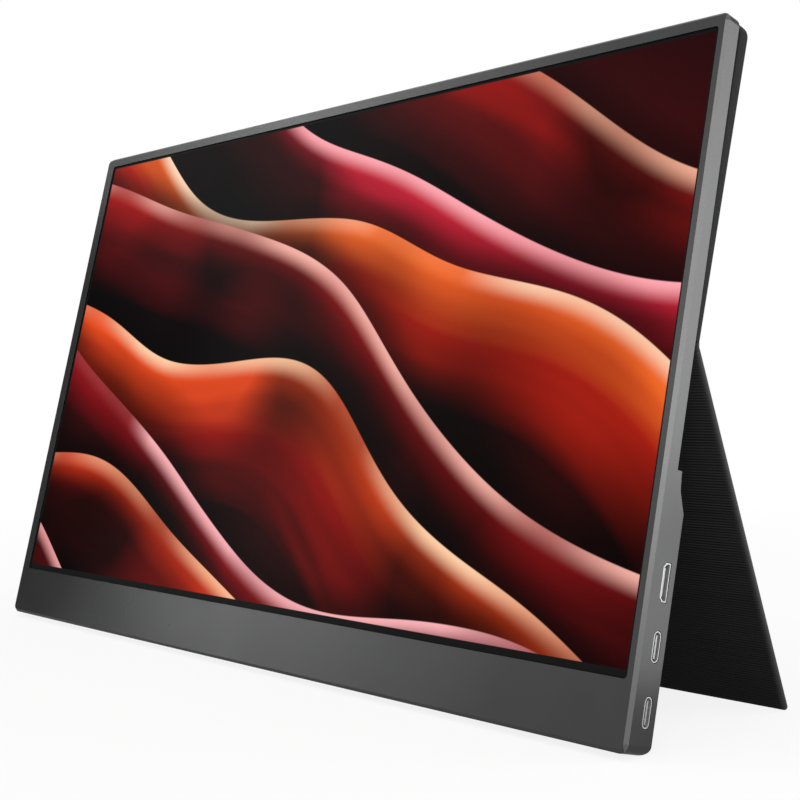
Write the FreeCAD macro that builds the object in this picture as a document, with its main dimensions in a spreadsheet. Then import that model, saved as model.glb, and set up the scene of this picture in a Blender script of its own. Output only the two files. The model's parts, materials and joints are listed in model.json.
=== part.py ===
import FreeCAD, Part
import os
import re
import Sketcher
from math import asin, atan2, degrees, hypot

# A portable monitor that stands on its rear lower edge and on the leg of its folding cover.
# The monitor's own axes: X across, Y from the front face to the back, Z up from the bottom edge.
# Lengths are in millimetres and angles in degrees.
size_groups = {
    "screen and front": {
        "picture_width": 344.2,
        "picture_height": 193.6,
        "side_border": 5.6,
        "top_border": 5.5,
        "chin_height": 22.9,
        "mask_side": 0.8,
        "picture_shift": 1.7,
        "mask_top": 1.0,
        "mask_bottom": 2.4,
        "window_radius": 1.2,
        "bezel_plate": 0.5,
        "bezel_chamfer": 1.1,
        "bezel_land": 0.2,
        "lip_wall": 0.8,
        "lip_height": 1.5,
        "fit_clearance": 0.1,
    },
    "panel stack, front to back": {
        "gasket_thick": 0.1,
        "cell_thick": 1.1,
        "diffuser_thick": 0.3,
        "guide_thick": 1.2,
        "reflector_thick": 0.2,
        "tray_wall": 0.3,
        "tape_thick": 1.1,
        "tape_width": 8.0,
        "tape_margin": 12.0,
        "tape_inset": 22.0,
        "panel_gap": 0.2,
        "panel_overlap": 1.5,
        "led_bar_height": 1.6,
        "led_strip_height": 0.6,
        "led_length": 5.0,
        "led_pitch": 9.0,
        "led_inset": 8.0,
    },
    "rear housing": {
        "shell_wall": 1.2,
        "corner_radius": 3.0,
        "foot_radius": 3.0,
        "bulge_rise": 5.8,
        "bulge_height": 69.5,
        "ramp_height": 6.5,
        "shelf_height": 5.6,
        "shelf_rise": 2.8,
        "step_rise": 2.2,
        "boss_radius": 2.2,
        "keeper_thick": 0.8,
        "keeper_width": 100.0,
        "keeper_height": 18.0,
        "keeper_spacing": 150.0,
    },
    "boards": {
        "board_gap": 1.5,
        "board_thick": 0.8,
        "board_edge": 2.0,
        "board_edge_gap": 0.8,
        "main_board_width": 78.0,
        "button_board_width": 18.0,
        "timing_board_width": 160.0,
        "timing_board_height": 10.0,
        "timing_board_thick": 0.8,
        "ribbon_thick": 0.2,
        "ribbon_width": 6.0,
        "ribbon_land": 6.0,
        "chip_width": 14.0,
        "chip_height": 1.0,
        "can_width": 26.0,
        "can_height": 2.6,
        "can_wall": 0.3,
        "coil_width": 4.0,
        "coil_height": 2.2,
        "coil_pitch": 6.0,
        "screw_radius": 0.75,
        "screw_clearance": 0.05,
        "screw_head_radius": 1.6,
        "screw_head_height": 0.7,
        "screw_length": 3.6,
        "screw_inset": 4.0,
    },
    "sockets on the right side": {
        "usb_long": 8.94,
        "usb_short": 3.26,
        "usb_length": 7.4,
        "usb_tongue_width": 6.7,
        "usb_tongue_thick": 0.7,
        "upper_usb_height": 30.7,
        "lower_usb_height": 12.2,
        "hdmi_height": 49.1,
        "hdmi_long": 11.2,
        "hdmi_short": 3.2,
        "hdmi_length": 7.5,
        "hdmi_slope": 1.2,
        "hdmi_tongue_width": 8.2,
        "hdmi_tongue_thick": 0.8,
        "hdmi_tongue_shift": 0.6,
        "socket_wall": 0.3,
        "socket_recess": 0.1,
        "socket_base": 1.5,
        "socket_gap": 0.2,
        "tongue_set_back": 0.3,
    },
    "controls on the left side": {
        "power_height": 56.0,
        "wheel_height": 38.0,
        "jack_height": 18.0,
        "button_long": 9.0,
        "button_short": 2.6,
        "button_proud": 0.5,
        "button_gap": 0.2,
        "button_travel": 0.4,
        "flange_reach": 0.9,
        "flange_thick": 0.8,
        "plunger_radius": 0.8,
        "plunger_length": 2.0,
        "plunger_clearance": 0.08,
        "switch_width": 6.0,
        "switch_height": 3.3,
        "switch_length": 3.6,
        "wheel_radius": 5.0,
        "wheel_proud": 1.2,
        "wheel_thick": 2.2,
        "wheel_gap": 0.4,
        "wheel_side_gap": 0.2,
        "wheel_base": 0.5,
        "wheel_base_radius": 2.2,
        "wheel_groove_radius": 0.25,
        "pin_radius": 0.8,
        "pin_clearance": 0.05,
        "pin_head_radius": 1.6,
        "pin_head_thick": 0.5,
        "jack_bore_radius": 1.8,
        "jack_bore_length": 11.0,
        "jack_nose_radius": 2.3,
        "jack_length": 12.4,
        "jack_width": 6.0,
        "jack_tall": 4.4,
        "jack_recess": 0.2,
    },
    "speakers": {
        "speaker_spacing": 100.0,
        "speaker_length": 36.0,
        "speaker_height": 11.0,
        "speaker_depth": 5.0,
        "speaker_radius": 2.0,
        "speaker_gap": 0.3,
        "speaker_mouth": 2.0,
        "slot_length": 3.0,
        "slot_width": 1.2,
        "slot_pitch": 4.0,
        "slot_set_back": 3.4,
    },
    "cover": {
        "leg_angle": 36.48,
        "cover_lean": 1.85,
        "cover_inset": 0.4,
        "cover_gap": 0.3,
        "fold_height": 119.2,
        "cover_top_rise": 0.5,
        "upper_corner": 5.0,
        "leg_length": 124.608,
        "leg_corner": 2.0,
        "skin_thick": 0.8,
        "skin_round": 0.5,
        "stiffener_thick": 1.6,
        "leg_stiffener_thick": 0.6,
        "lining_thick": 0.6,
        "lining_inset": 0.6,
        "crease_inset": 0.7,
        "crease_radius": 0.8,
        "crease_clearance": 0.3,
        "crease_band": 4.0,
        "tongue_thick": 0.6,
        "tongue_depth": 3.0,
        "pad_start": 12.0,
        "pad_inset": 0.6,
        "magnet_drop": 22.0,
        "seat_gap": 0.2,
        "magnet_length": 40.0,
        "magnet_height": 14.0,
        "magnet_thick": 1.2,
        "magnet_pitch": 62.0,
    },
    "cutting": {
        "overrun": 1.0,
    },
}
led_count = 36
slot_count = 8
magnet_count = 4
coil_count = 3
groove_count = 36

# Sizes that follow from the ones above.
formulas = {
    "half_width": "picture_width / 2 + side_border",
    "body_height": "chin_height + picture_height + top_border",
    "window_left": "picture_shift - picture_width / 2 - mask_side",
    "window_right": "picture_shift + picture_width / 2 + mask_side",
    "window_bottom": "chin_height - mask_bottom",
    "window_top": "chin_height + picture_height + mask_top",
    "bezel_depth": "bezel_chamfer + bezel_land",
    "cell_front": "bezel_plate + gasket_thick",
    "diffuser_front": "cell_front + cell_thick",
    "guide_front": "diffuser_front + diffuser_thick",
    "reflector_front": "guide_front + guide_thick",
    "tray_front": "reflector_front + reflector_thick",
    "panel_back": "tray_front + tray_wall",
    "thin_inner": "panel_back + tape_thick",
    "thin_depth": "thin_inner + shell_wall",
    "thick_depth": "thin_depth + bulge_rise",
    "thick_inner": "thick_depth - shell_wall",
    "ramp_top": "bulge_height + ramp_height",
    "bulge_top": "ramp_top + shelf_height",
    "shell_inner": "half_width - shell_wall",
    "lip_outer": "shell_inner - fit_clearance",
    "lip_low": "shell_wall + fit_clearance",
    "lip_inner": "lip_outer - lip_wall",
    "panel_half": "lip_inner - panel_gap",
    "panel_top": "body_height - lip_low - lip_wall - panel_gap",
    "panel_bottom": "window_bottom - panel_overlap",
    "stack_inset": "tray_wall + fit_clearance",
    "stack_half": "panel_half - stack_inset",
    "stack_bottom": "panel_bottom + stack_inset",
    "stack_top": "panel_top - stack_inset",
    "guide_bottom": "stack_bottom + led_bar_height + fit_clearance",
    "board_front": "panel_back + board_gap",
    "board_back": "board_front + board_thick",
    "usb_depth": "board_back + usb_short / 2",
    "hdmi_depth": "board_back + hdmi_short / 2",
    "main_right": "shell_inner - board_edge_gap",
    "main_left": "main_right - main_board_width",
    "main_bottom": "lower_usb_height - usb_long / 2 - board_edge",
    "main_top": "hdmi_height + hdmi_long / 2 + board_edge",
    "main_middle": "(main_bottom + main_top) / 2",
    "button_right": "button_board_width - main_right",
    "button_bottom": "jack_height - jack_width / 2 - board_edge",
    "button_top": "power_height + button_long / 2 + board_edge",
    "timing_half": "timing_board_width / 2",
    "timing_bottom": "panel_bottom - timing_board_height",
    "chip_across": "main_left + main_board_width / 2",
    "flange_front": "shell_wall + button_gap",
    "flange_back": "flange_front + flange_thick",
    "switch_front": "flange_back + button_travel + button_gap",
    "plunger_bore": "flange_back + plunger_length - switch_front + button_travel + button_gap",
    "wheel_across": "wheel_radius - wheel_proud - half_width",
    "wheel_front": "board_back + wheel_base + wheel_side_gap",
    "wheel_back": "wheel_front + wheel_thick",
    "wheel_inside": "wheel_radius - wheel_proud - shell_wall",
    "wheel_slot_half": "sqrt(wheel_radius ^ 2 - wheel_inside ^ 2) + wheel_gap",
    "jack_depth": "board_back + jack_tall / 2",
    "jack_face": "shell_wall + fit_clearance",
    "speaker_front": "thick_inner - speaker_depth",
    "speaker_bottom": "shell_wall + speaker_gap",
    "slot_depth": "thick_depth - foot_radius - slot_set_back + slot_width",
    "cover_half": "half_width - cover_inset",
    "skin_depth": "skin_thick + stiffener_thick",
    "cover_thick": "skin_depth + lining_thick",
    "skin_front": "crease_inset - skin_depth",
    "leg_skin_front": "crease_inset - skin_thick - leg_stiffener_thick",
    "lining_front": "crease_inset - cover_thick",
    "crease_gap": "crease_radius + crease_clearance",
    "fold_depth": "thin_depth + cover_gap + cover_thick - crease_inset",
    "upper_length": "(body_height + cover_top_rise - fold_height) / cos(cover_lean)",
    "pad_top": "upper_length - pad_inset",
    "magnet_middle": "upper_length - magnet_drop",
    "back_reach": "(cover_gap + cover_thick - crease_inset) / cos(cover_lean)",
    "pad_bottom_front": "seat_gap - back_reach - pad_start * tan(cover_lean)",
    "pad_top_front": "seat_gap - back_reach - pad_top * tan(cover_lean)",
    "keeper_middle": "fold_height + magnet_middle * cos(cover_lean)",
}

doc = FreeCAD.newDocument("PortableMonitor")
sheet = doc.addObject("Spreadsheet::Sheet", "Sizes")
row = 1
for group_name, group in size_groups.items():
    sheet.set(f"A{row}", group_name)
    row += 1
    for size_name, size_value in group.items():
        sheet.set(f"A{row}", size_name)
        sheet.set(f"B{row}", str(size_value))
        sheet.setAlias(f"B{row}", size_name)
        row += 1
doc.recompute()
aliases = {size_name for group in size_groups.values() for size_name in group}


def sized(text):
    """Write a formula out in the sheet's own cells."""
    def spell(match):
        word = match.group()
        if word in formulas:
            return "(" + sized(formulas[word]) + ")"
        return "Sizes." + word if word in aliases else word
    return re.sub(r"[a-z][a-z_]*[a-z]", spell, text)


def measure(text):
    """Give a formula's present value."""
    result = sheet.evalExpression(sized(text))
    return float(result.Value if hasattr(result, "Value") else result)


def bind(item, **properties):
    for name, text in properties.items():
        item.setExpression(name, sized(text))


def sketch_on(body, role, offset="0"):
    """A sketch on one of the body's planes, moved along that plane's normal."""
    sketch = body.newObject("Sketcher::SketchObject", body.Label + "_sketch")
    plane = next(item for item in body.Origin.OriginFeatures if item.Role == role)
    sketch.AttachmentSupport = [(plane, "")]
    sketch.MapMode = "FlatFace"
    sketch.setExpression("AttachmentOffset.Base.z", sized(offset))
    return sketch


def front_sketch(body, depth):
    """A sketch that faces the front, at a depth behind the front face."""
    return sketch_on(body, "XZ_Plane", f"-({depth})")


def hold(sketch, shape, point, across, up):
    """Tie a point of a sketch to a pair of formulas."""
    for kind, text in (("DistanceX", across), ("DistanceY", up)):
        number = sketch.addConstraint(
            Sketcher.Constraint(kind, -1, 1, shape, point, measure(text)))
        sketch.setExpression(f"Constraints[{number}]", sized(text))


def set_radius(sketch, shape, radius):
    number = sketch.addConstraint(Sketcher.Constraint("Radius", shape, measure(radius)))
    sketch.setExpression(f"Constraints[{number}]", sized(radius))


def vector(across, up):
    return FreeCAD.Vector(measure(across), measure(up), 0)


def draw_outline(sketch, corners):
    """A closed outline with straight sides."""
    places = [vector(across, up) for across, up in corners]
    following = places[1:] + places[:1]
    sides = [sketch.addGeometry(Part.LineSegment(a, b), False) for a, b in zip(places, following)]
    for side, after in zip(sides, sides[1:] + sides[:1]):
        sketch.addConstraint(Sketcher.Constraint("Coincident", side, 2, after, 1))
    for side, (across, up) in zip(sides, corners):
        hold(sketch, side, 1, across, up)


def draw_box(sketch, left, right, bottom, top):
    draw_outline(sketch, [(left, bottom), (right, bottom), (right, top), (left, top)])


def draw_circle(sketch, across, up, radius):
    circle = Part.Circle(vector(across, up), FreeCAD.Vector(0, 0, 1), measure(radius))
    shape = sketch.addGeometry(circle, False)
    hold(sketch, shape, 3, across, up)
    set_radius(sketch, shape, radius)


def join_rounded(sketch, sides, radius):
    """Join straight sides, given as pairs of ends in order, with arcs that turn left.

    Sides that already meet are joined without an arc.
    """
    lines = []
    for start, end in sides:
        lines.append(sketch.addGeometry(Part.LineSegment(vector(*start), vector(*end)), False))
    bow = measure(radius)
    for number, line in enumerate(lines):
        after = (number + 1) % len(lines)
        hold(sketch, line, 1, *sides[number][0])
        if sides[number][1] == sides[after][0]:
            sketch.addConstraint(Sketcher.Constraint("Coincident", line, 2, lines[after], 1))
            continue
        hold(sketch, line, 2, *sides[number][1])
        first = vector(*sides[number][1])
        last = vector(*sides[after][0])
        heading = (first - vector(*sides[number][0])).normalize()
        centre = first + FreeCAD.Vector(-heading.y, heading.x, 0) * bow
        turn = heading.getAngle(vector(*sides[after][1]) - last)
        begin = FreeCAD.Vector(1, 0, 0).getAngle(first - centre)
        if (first - centre).y < 0:
            begin = -begin
        circle = Part.Circle(centre, FreeCAD.Vector(0, 0, 1), bow)
        arc = sketch.addGeometry(Part.ArcOfCircle(circle, begin, begin + turn), False)
        sketch.addConstraint(Sketcher.Constraint("Tangent", line, 2, arc, 1))
        sketch.addConstraint(Sketcher.Constraint("Coincident", arc, 2, lines[after], 1))


def draw_rounded(sketch, left, right, bottom, top, radius):
    """A rectangle with rounded corners."""
    near, far = f"{left} + {radius}", f"{right} - ({radius})"
    low, high = f"{bottom} + {radius}", f"{top} - ({radius})"
    sides = [((near, bottom), (far, bottom)), ((right, low), (right, high)),
             ((far, top), (near, top)), ((left, high), (left, low))]
    join_rounded(sketch, sides, radius)


def draw_tab(sketch, half, bottom, top, radius):
    """A rectangle about the middle with its two upper corners rounded."""
    left, far = f"-({half})", f"{half} - ({radius})"
    high = f"{top} - ({radius})"
    sides = [((left, bottom), (half, bottom)), ((half, bottom), (half, high)),
             ((far, top), (f"-({far})", top)), ((left, high), (left, bottom))]
    join_rounded(sketch, sides, radius)


def draw_slot(sketch, across, up, width, height):
    """An upright slot with round ends."""
    radius = f"({width}) / 2"
    left, right = f"{across} - {radius}", f"{across} + {radius}"
    low = f"{up} - ({height}) / 2 + {radius}"
    high = f"{up} + ({height}) / 2 - {radius}"
    join_rounded(sketch, [((right, low), (right, high)), ((left, high), (left, low))], radius)


def new_body(label):
    return doc.addObject("PartDesign::Body", label)


def pad(body, sketch, length, towards="normal"):
    """Add material from a sketch: along its normal, against it, or half each way."""
    feature = body.newObject("PartDesign::Pad", body.Label + "_pad")
    feature.Profile = sketch
    bind(feature, Length=length)
    feature.Reversed = towards == "against"
    feature.SideType = "Symmetric" if towards == "both" else "One side"
    doc.recompute()
    return feature


def pocket(body, sketch, length, towards="against"):
    """Remove material from a sketch, and make sure that some was removed."""
    before = body.Shape.Volume
    feature = body.newObject("PartDesign::Pocket", body.Label + "_pocket")
    feature.Profile = sketch
    bind(feature, Length=length)
    feature.Reversed = towards == "normal"
    feature.SideType = "Symmetric" if towards == "both" else "One side"
    doc.recompute()
    if not feature.Shape.Volume < before:
        raise RuntimeError(f"a cut in {body.Label} removes nothing")
    return feature


def near(value, text):
    return abs(value - measure(text)) < Part.Precision.confusion() * 1000


def runs_along(edge, axis):
    """Whether a straight edge lies along an axis."""
    ends = [vertex.Point for vertex in edge.Vertexes]
    if len(ends) != 2 or edge.Curve.TypeId != "Part::GeomLine":
        return False
    return (ends[1] - ends[0]).normalize().cross(axis).Length < Part.Precision.confusion()


def dress(body, kind, size, choose):
    """Round or chamfer the edges of the body that a test picks."""
    base = body.Tip
    inside = body.Placement.inverse()
    names = []
    for number, edge in enumerate(base.Shape.Edges, 1):
        if choose(edge, inside.multVec(edge.CenterOfMass)):
            names.append(f"Edge{number}")
    feature = body.newObject("PartDesign::" + kind, body.Label + "_" + kind.lower())
    feature.Base = (base, names)
    bind(feature, **{"Radius" if kind == "Fillet" else "Size": size})
    doc.recompute()


def repeat(body, feature, axis_role, length, count):
    """Copy a feature along one of the body's axes, over a whole length."""
    pattern = body.newObject("PartDesign::LinearPattern", body.Label + "_pattern")
    axis = next(item for item in body.Origin.OriginFeatures if item.Role == axis_role)
    pattern.Originals = [feature]
    pattern.Direction = (axis, [""])
    bind(pattern, Length=length)
    pattern.Occurrences = count
    body.Tip = pattern
    doc.recompute()


def block(label, left, right, front, back, bottom, top):
    """A plain rectangular piece between two formulas each way."""
    piece = doc.addObject("Part::Box", label)
    bind(piece, Length=f"{right} - ({left})", Width=f"{back} - ({front})",
         Height=f"{top} - ({bottom})")
    corner = FreeCAD.Vector(measure(left), measure(front), measure(bottom))
    piece.Placement = FreeCAD.Placement(corner, FreeCAD.Rotation())
    return piece


def rod(label, radius, across, up, front, back):
    """A round rod that runs from front to back."""
    piece = doc.addObject("Part::Cylinder", label)
    bind(piece, Radius=radius, Height=f"{back} - ({front})")
    foot = FreeCAD.Vector(measure(across), measure(front), measure(up))
    piece.Placement = FreeCAD.Placement(foot, FreeCAD.Rotation(FreeCAD.Vector(1, 0, 0), -90))
    return piece


def group_of(label, members):
    group = doc.addObject("Part::Compound", label)
    group.Links = members
    return group


x_axis = FreeCAD.Vector(1, 0, 0)
y_axis = FreeCAD.Vector(0, 1, 0)
upright = []
screw_places = [
    ("main_right - usb_length - screw_inset", "main_bottom + screw_inset"),
    ("main_right - usb_length - screw_inset", "main_top - screw_inset"),
    ("main_left + ribbon_land + screw_inset", "main_bottom + screw_inset"),
    ("main_left + ribbon_land + screw_inset", "main_top - screw_inset"),
    ("button_right - screw_inset", "(jack_height + wheel_height) / 2"),
    ("button_right - screw_inset", "(wheel_height + power_height) / 2"),
]
usb_heights = {"upper": "upper_usb_height", "lower": "lower_usb_height"}


def hdmi_outline(sketch, grow):
    """The six-sided mouth of the mini HDMI socket, grown outwards all round."""
    front = f"hdmi_depth - hdmi_short / 2 - ({grow})"
    back = f"hdmi_depth + hdmi_short / 2 + ({grow})"
    half = f"(hdmi_long / 2 + ({grow}))"
    bend = f"{front} + hdmi_slope"
    narrow = f"({half} - hdmi_slope)"
    draw_outline(sketch, [
        (front, f"hdmi_height - {narrow}"), (bend, f"hdmi_height - {half}"),
        (back, f"hdmi_height - {half}"), (back, f"hdmi_height + {half}"),
        (bend, f"hdmi_height + {half}"), (front, f"hdmi_height + {narrow}")])


def draw_profile(sketch, wall):
    """The housing's section from front to back, set in by a wall."""
    thick, thin = f"thick_depth - {wall}", f"thin_depth - {wall}"
    top = f"body_height - {wall}"
    draw_outline(sketch, [
        ("bezel_depth", wall), (thick, wall), (thick, f"bulge_height - {wall}"),
        (f"{thin} + shelf_rise", f"ramp_top - {wall}"),
        (f"{thin} + step_rise", f"bulge_top - {wall}"), (thin, f"bulge_top - {wall}"),
        (thin, top), ("bezel_depth", top)])


# Rear housing: a thin tray for the panel that steps out to a thicker part for the boards.
housing = new_body("rear_housing")
sketch = sketch_on(housing, "YZ_Plane")
draw_profile(sketch, "0")
pad(housing, sketch, "2 * half_width", "both")
dress(housing, "Fillet", "foot_radius", lambda edge, middle: (
    runs_along(edge, x_axis) and near(middle.y, "thick_depth") and near(middle.z, "0")))
sketch = front_sketch(housing, "0")
draw_box(sketch, "-half_width - overrun", "half_width + overrun", "-overrun", "body_height + overrun")
draw_rounded(sketch, "-half_width", "half_width", "0", "body_height", "corner_radius")
pocket(housing, sketch, "thick_depth + overrun")
sketch = sketch_on(housing, "YZ_Plane")
draw_profile(sketch, "shell_wall")
pocket(housing, sketch, "2 * shell_inner", "both")
dress(housing, "Fillet", "corner_radius - shell_wall", lambda edge, middle: (
    runs_along(edge, y_axis) and near(abs(middle.x), "shell_inner")
    and (near(middle.z, "shell_wall") or near(middle.z, "body_height - shell_wall"))))
sketch = sketch_on(housing, "YZ_Plane", "half_width")
for usb_height in usb_heights.values():
    draw_slot(sketch, "usb_depth", usb_height, "usb_short + 2 * socket_gap", "usb_long + 2 * socket_gap")
hdmi_outline(sketch, "socket_gap")
pocket(housing, sketch, "shell_wall + overrun")
sketch = sketch_on(housing, "YZ_Plane", "-half_width")
draw_slot(sketch, "usb_depth", "power_height",
          "button_short + 2 * button_gap", "button_long + 2 * button_gap")
draw_box(sketch, "wheel_front - wheel_side_gap", "wheel_back + wheel_side_gap",
         "wheel_height - wheel_slot_half", "wheel_height + wheel_slot_half")
draw_circle(sketch, "jack_depth", "jack_height", "jack_nose_radius + socket_gap")
pocket(housing, sketch, "shell_wall + overrun", "normal")
slot_run = f"slot_pitch * {slot_count - 1}"
for side in ("-", ""):
    sketch = sketch_on(housing, "XY_Plane")
    start = f"{side}speaker_spacing / 2 - {slot_run} / 2"
    draw_rounded(sketch, f"{start} - slot_length / 2", f"{start} + slot_length / 2",
                 "slot_depth - slot_width / 2", "slot_depth + slot_width / 2", "slot_width / 2.2")
    slots = pocket(housing, sketch, "shell_wall + overrun", "normal")
    repeat(housing, slots, "X_Axis", slot_run, slot_count)
sketch = front_sketch(housing, "thick_inner")
for across, up in screw_places:
    draw_circle(sketch, across, up, "boss_radius")
pad(housing, sketch, "thick_inner - board_back")
sketch = front_sketch(housing, "board_back")
for across, up in screw_places:
    draw_circle(sketch, across, up, "screw_radius + screw_clearance")
pocket(housing, sketch, "screw_length - board_thick + screw_clearance")
upright.append(housing)

# Front bezel: one plate with the screen's window, a chamfered rim and a lip inside the housing.
bezel = new_body("front_bezel")
sketch = front_sketch(bezel, "0")
draw_rounded(sketch, "-half_width", "half_width", "0", "body_height", "corner_radius")
pad(bezel, sketch, "bezel_depth", "against")
dress(bezel, "Chamfer", "bezel_chamfer", lambda edge, middle: near(middle.y, "0"))
sketch = front_sketch(bezel, "bezel_depth")
draw_rounded(sketch, "-lip_outer", "lip_outer", "lip_low", "body_height - lip_low",
             "(corner_radius - shell_wall)")
draw_box(sketch, "-lip_inner", "lip_inner", "lip_low + lip_wall", "body_height - lip_low - lip_wall")
pad(bezel, sketch, "lip_height", "against")
sketch = front_sketch(bezel, "0")
draw_rounded(sketch, "window_left", "window_right", "window_bottom", "window_top", "window_radius")
pocket(bezel, sketch, "bezel_depth + overrun")
sketch = front_sketch(bezel, "bezel_plate")
draw_box(sketch, "-lip_inner", "lip_inner", "panel_bottom - panel_gap", "panel_top + panel_gap")
pocket(bezel, sketch, "bezel_depth - bezel_plate")
upright.append(bezel)

# Panel stack, from the gasket behind the bezel to the tape on the housing.
gasket = new_body("screen_gasket")
sketch = front_sketch(gasket, "bezel_plate")
draw_box(sketch, "-stack_half", "stack_half", "stack_bottom", "stack_top")
draw_rounded(sketch, "window_left", "window_right", "window_bottom", "window_top", "window_radius")
pad(gasket, sketch, "gasket_thick", "against")
upright.append(gasket)

layers = {
    "lcd_cell": ("cell_front", "cell_thick", "stack_bottom"),
    "diffuser_sheet": ("diffuser_front", "diffuser_thick", "stack_bottom"),
    "light_guide": ("guide_front", "guide_thick", "guide_bottom"),
    "reflector_sheet": ("reflector_front", "reflector_thick", "stack_bottom"),
}
for label, (front, thick, bottom) in layers.items():
    upright.append(block(label, "-stack_half", "stack_half", front, f"{front} + {thick}",
                         bottom, "stack_top"))

tray = new_body("panel_tray")
sketch = front_sketch(tray, "cell_front")
draw_box(sketch, "-panel_half", "panel_half", "panel_bottom", "panel_top")
pad(tray, sketch, "panel_back - cell_front", "against")
sketch = front_sketch(tray, "cell_front")
draw_box(sketch, "tray_wall - panel_half", "panel_half - tray_wall",
         "panel_bottom + tray_wall", "panel_top - tray_wall")
pocket(tray, sketch, "tray_front - cell_front")
upright.append(tray)

led_bar = new_body("led_bar")
sketch = front_sketch(led_bar, "guide_front")
draw_box(sketch, "-stack_half", "stack_half", "stack_bottom", "stack_bottom + led_strip_height")
pad(led_bar, sketch, "guide_thick", "against")
sketch = front_sketch(led_bar, "guide_front")
draw_box(sketch, "led_inset - stack_half", "led_inset + led_length - stack_half",
         "stack_bottom + led_strip_height", "stack_bottom + led_bar_height")
lamps = pad(led_bar, sketch, "guide_thick", "against")
repeat(led_bar, lamps, "X_Axis", f"led_pitch * {led_count - 1}", led_count)
upright.append(led_bar)

strips = []
for side, near_edge, far_edge in (("left", "tape_inset - panel_half", "+ tape_width"),
                                  ("right", "panel_half - tape_inset - tape_width", "+ tape_width")):
    strips.append(block("tape_" + side, near_edge, near_edge + far_edge, "panel_back", "thin_inner",
                        "bulge_top + tape_margin", "panel_top - tape_margin"))
upright.append(group_of("panel_tape", strips))

keepers = []
for side, middle in (("left", "-keeper_spacing / 2"), ("right", "keeper_spacing / 2")):
    keepers.append(block("keeper_" + side, f"{middle} - keeper_width / 2", f"{middle} + keeper_width / 2",
                         "thin_inner - keeper_thick", "thin_inner",
                         "keeper_middle - keeper_height / 2", "keeper_middle + keeper_height / 2"))
upright.append(group_of("keeper_plates", keepers))

# Boards, what is soldered to them, and the flat ribbons between them.
boards = {
    "main_board": ("main_left", "main_right", "main_bottom", "main_top", screw_places[:4]),
    "button_board": ("-main_right", "button_right", "button_bottom", "button_top", screw_places[4:]),
}
for label, (left, right, bottom, top, places) in boards.items():
    board = new_body(label)
    sketch = front_sketch(board, "board_front")
    draw_box(sketch, left, right, bottom, top)
    for across, up in places:
        draw_circle(sketch, across, up, "screw_radius + screw_clearance")
    pad(board, sketch, "board_thick", "against")
    upright.append(board)

upright.append(block("timing_board", "-timing_half", "timing_half", "panel_back - timing_board_thick",
                     "panel_back", "timing_bottom", "panel_bottom"))
upright.append(block("scaler_chip", "chip_across - chip_width / 2", "chip_across + chip_width / 2",
                     "board_back", "board_back + chip_height",
                     "main_middle - chip_width / 2", "main_middle + chip_width / 2"))

can = new_body("shield_can")
for inset, front, depth in (("0", "board_back", "can_height"),
                            ("can_wall", "board_back", "can_height - can_wall")):
    sketch = front_sketch(can, front)
    half = f"(can_width / 2 - {inset})"
    draw_box(sketch, f"chip_across - {half}", f"chip_across + {half}",
             f"main_middle - {half}", f"main_middle + {half}")
    if inset == "0":
        pad(can, sketch, depth, "against")
    else:
        pocket(can, sketch, depth)
upright.append(can)

coils = []
for number in range(coil_count):
    left = f"main_left + ribbon_land + board_edge + coil_pitch * {number}"
    coils.append(block(f"coil_{number + 1}", left, left + " + coil_width", "board_back",
                       "board_back + coil_height", "main_middle - coil_width / 2",
                       "main_middle + coil_width / 2"))
upright.append(group_of("power_coils", coils))

screws = []
for number, (across, up) in enumerate(screw_places, 1):
    head = rod(f"screw_head_{number}", "screw_head_radius", across, up,
               "board_front - screw_head_height", "board_front")
    shank = rod(f"screw_shank_{number}", "screw_radius", across, up, "board_front",
                "board_front + screw_length")
    screw = doc.addObject("Part::Fuse", f"screw_{number}")
    screw.Base = head
    screw.Tool = shank
    screws.append(screw)
upright.append(group_of("board_screws", screws))

display_ribbon = new_body("display_ribbon")
sketch = sketch_on(display_ribbon, "XY_Plane", "timing_bottom + timing_board_height / 2")
draw_outline(sketch, [
    ("timing_half - ribbon_land", "panel_back"), ("timing_half", "panel_back"),
    ("main_left", "board_front - ribbon_thick"), ("main_left + ribbon_land", "board_front - ribbon_thick"),
    ("main_left + ribbon_land", "board_front"), ("main_left", "board_front"),
    ("timing_half", "panel_back + ribbon_thick"),
    ("timing_half - ribbon_land", "panel_back + ribbon_thick")])
pad(display_ribbon, sketch, "ribbon_width", "both")
upright.append(display_ribbon)
upright.append(block("button_ribbon", "button_right - ribbon_land", "main_left + ribbon_land",
                     "board_front - ribbon_thick", "board_front",
                     "wheel_height - ribbon_width / 2", "wheel_height + ribbon_width / 2"))

# Sockets: drawn shells with a tongue each, behind the openings in the right wall.
for place, usb_height in usb_heights.items():
    shell = new_body(place + "_usb_shell")
    sketch = sketch_on(shell, "YZ_Plane", "half_width - socket_recess")
    draw_slot(sketch, "usb_depth", usb_height, "usb_short", "usb_long")
    pad(shell, sketch, "usb_length", "against")
    sketch = sketch_on(shell, "YZ_Plane", "half_width - socket_recess")
    draw_slot(sketch, "usb_depth", usb_height,
              "usb_short - 2 * socket_wall", "usb_long - 2 * socket_wall")
    pocket(shell, sketch, "usb_length - socket_wall")
    tongue = new_body(place + "_usb_tongue")
    sketch = sketch_on(tongue, "YZ_Plane", "half_width - socket_recess - usb_length + socket_wall")
    inner = "2 * (socket_wall + screw_clearance)"
    draw_slot(sketch, "usb_depth", usb_height, f"usb_short - {inner}", f"usb_long - {inner}")
    pad(tongue, sketch, "socket_base")
    sketch = sketch_on(tongue, "YZ_Plane", "half_width - socket_recess - usb_length + socket_wall")
    draw_box(sketch, "usb_depth - usb_tongue_thick / 2", "usb_depth + usb_tongue_thick / 2",
             f"{usb_height} - usb_tongue_width / 2", f"{usb_height} + usb_tongue_width / 2")
    pad(tongue, sketch, "usb_length - socket_wall - tongue_set_back")
    upright += [shell, tongue]

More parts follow.
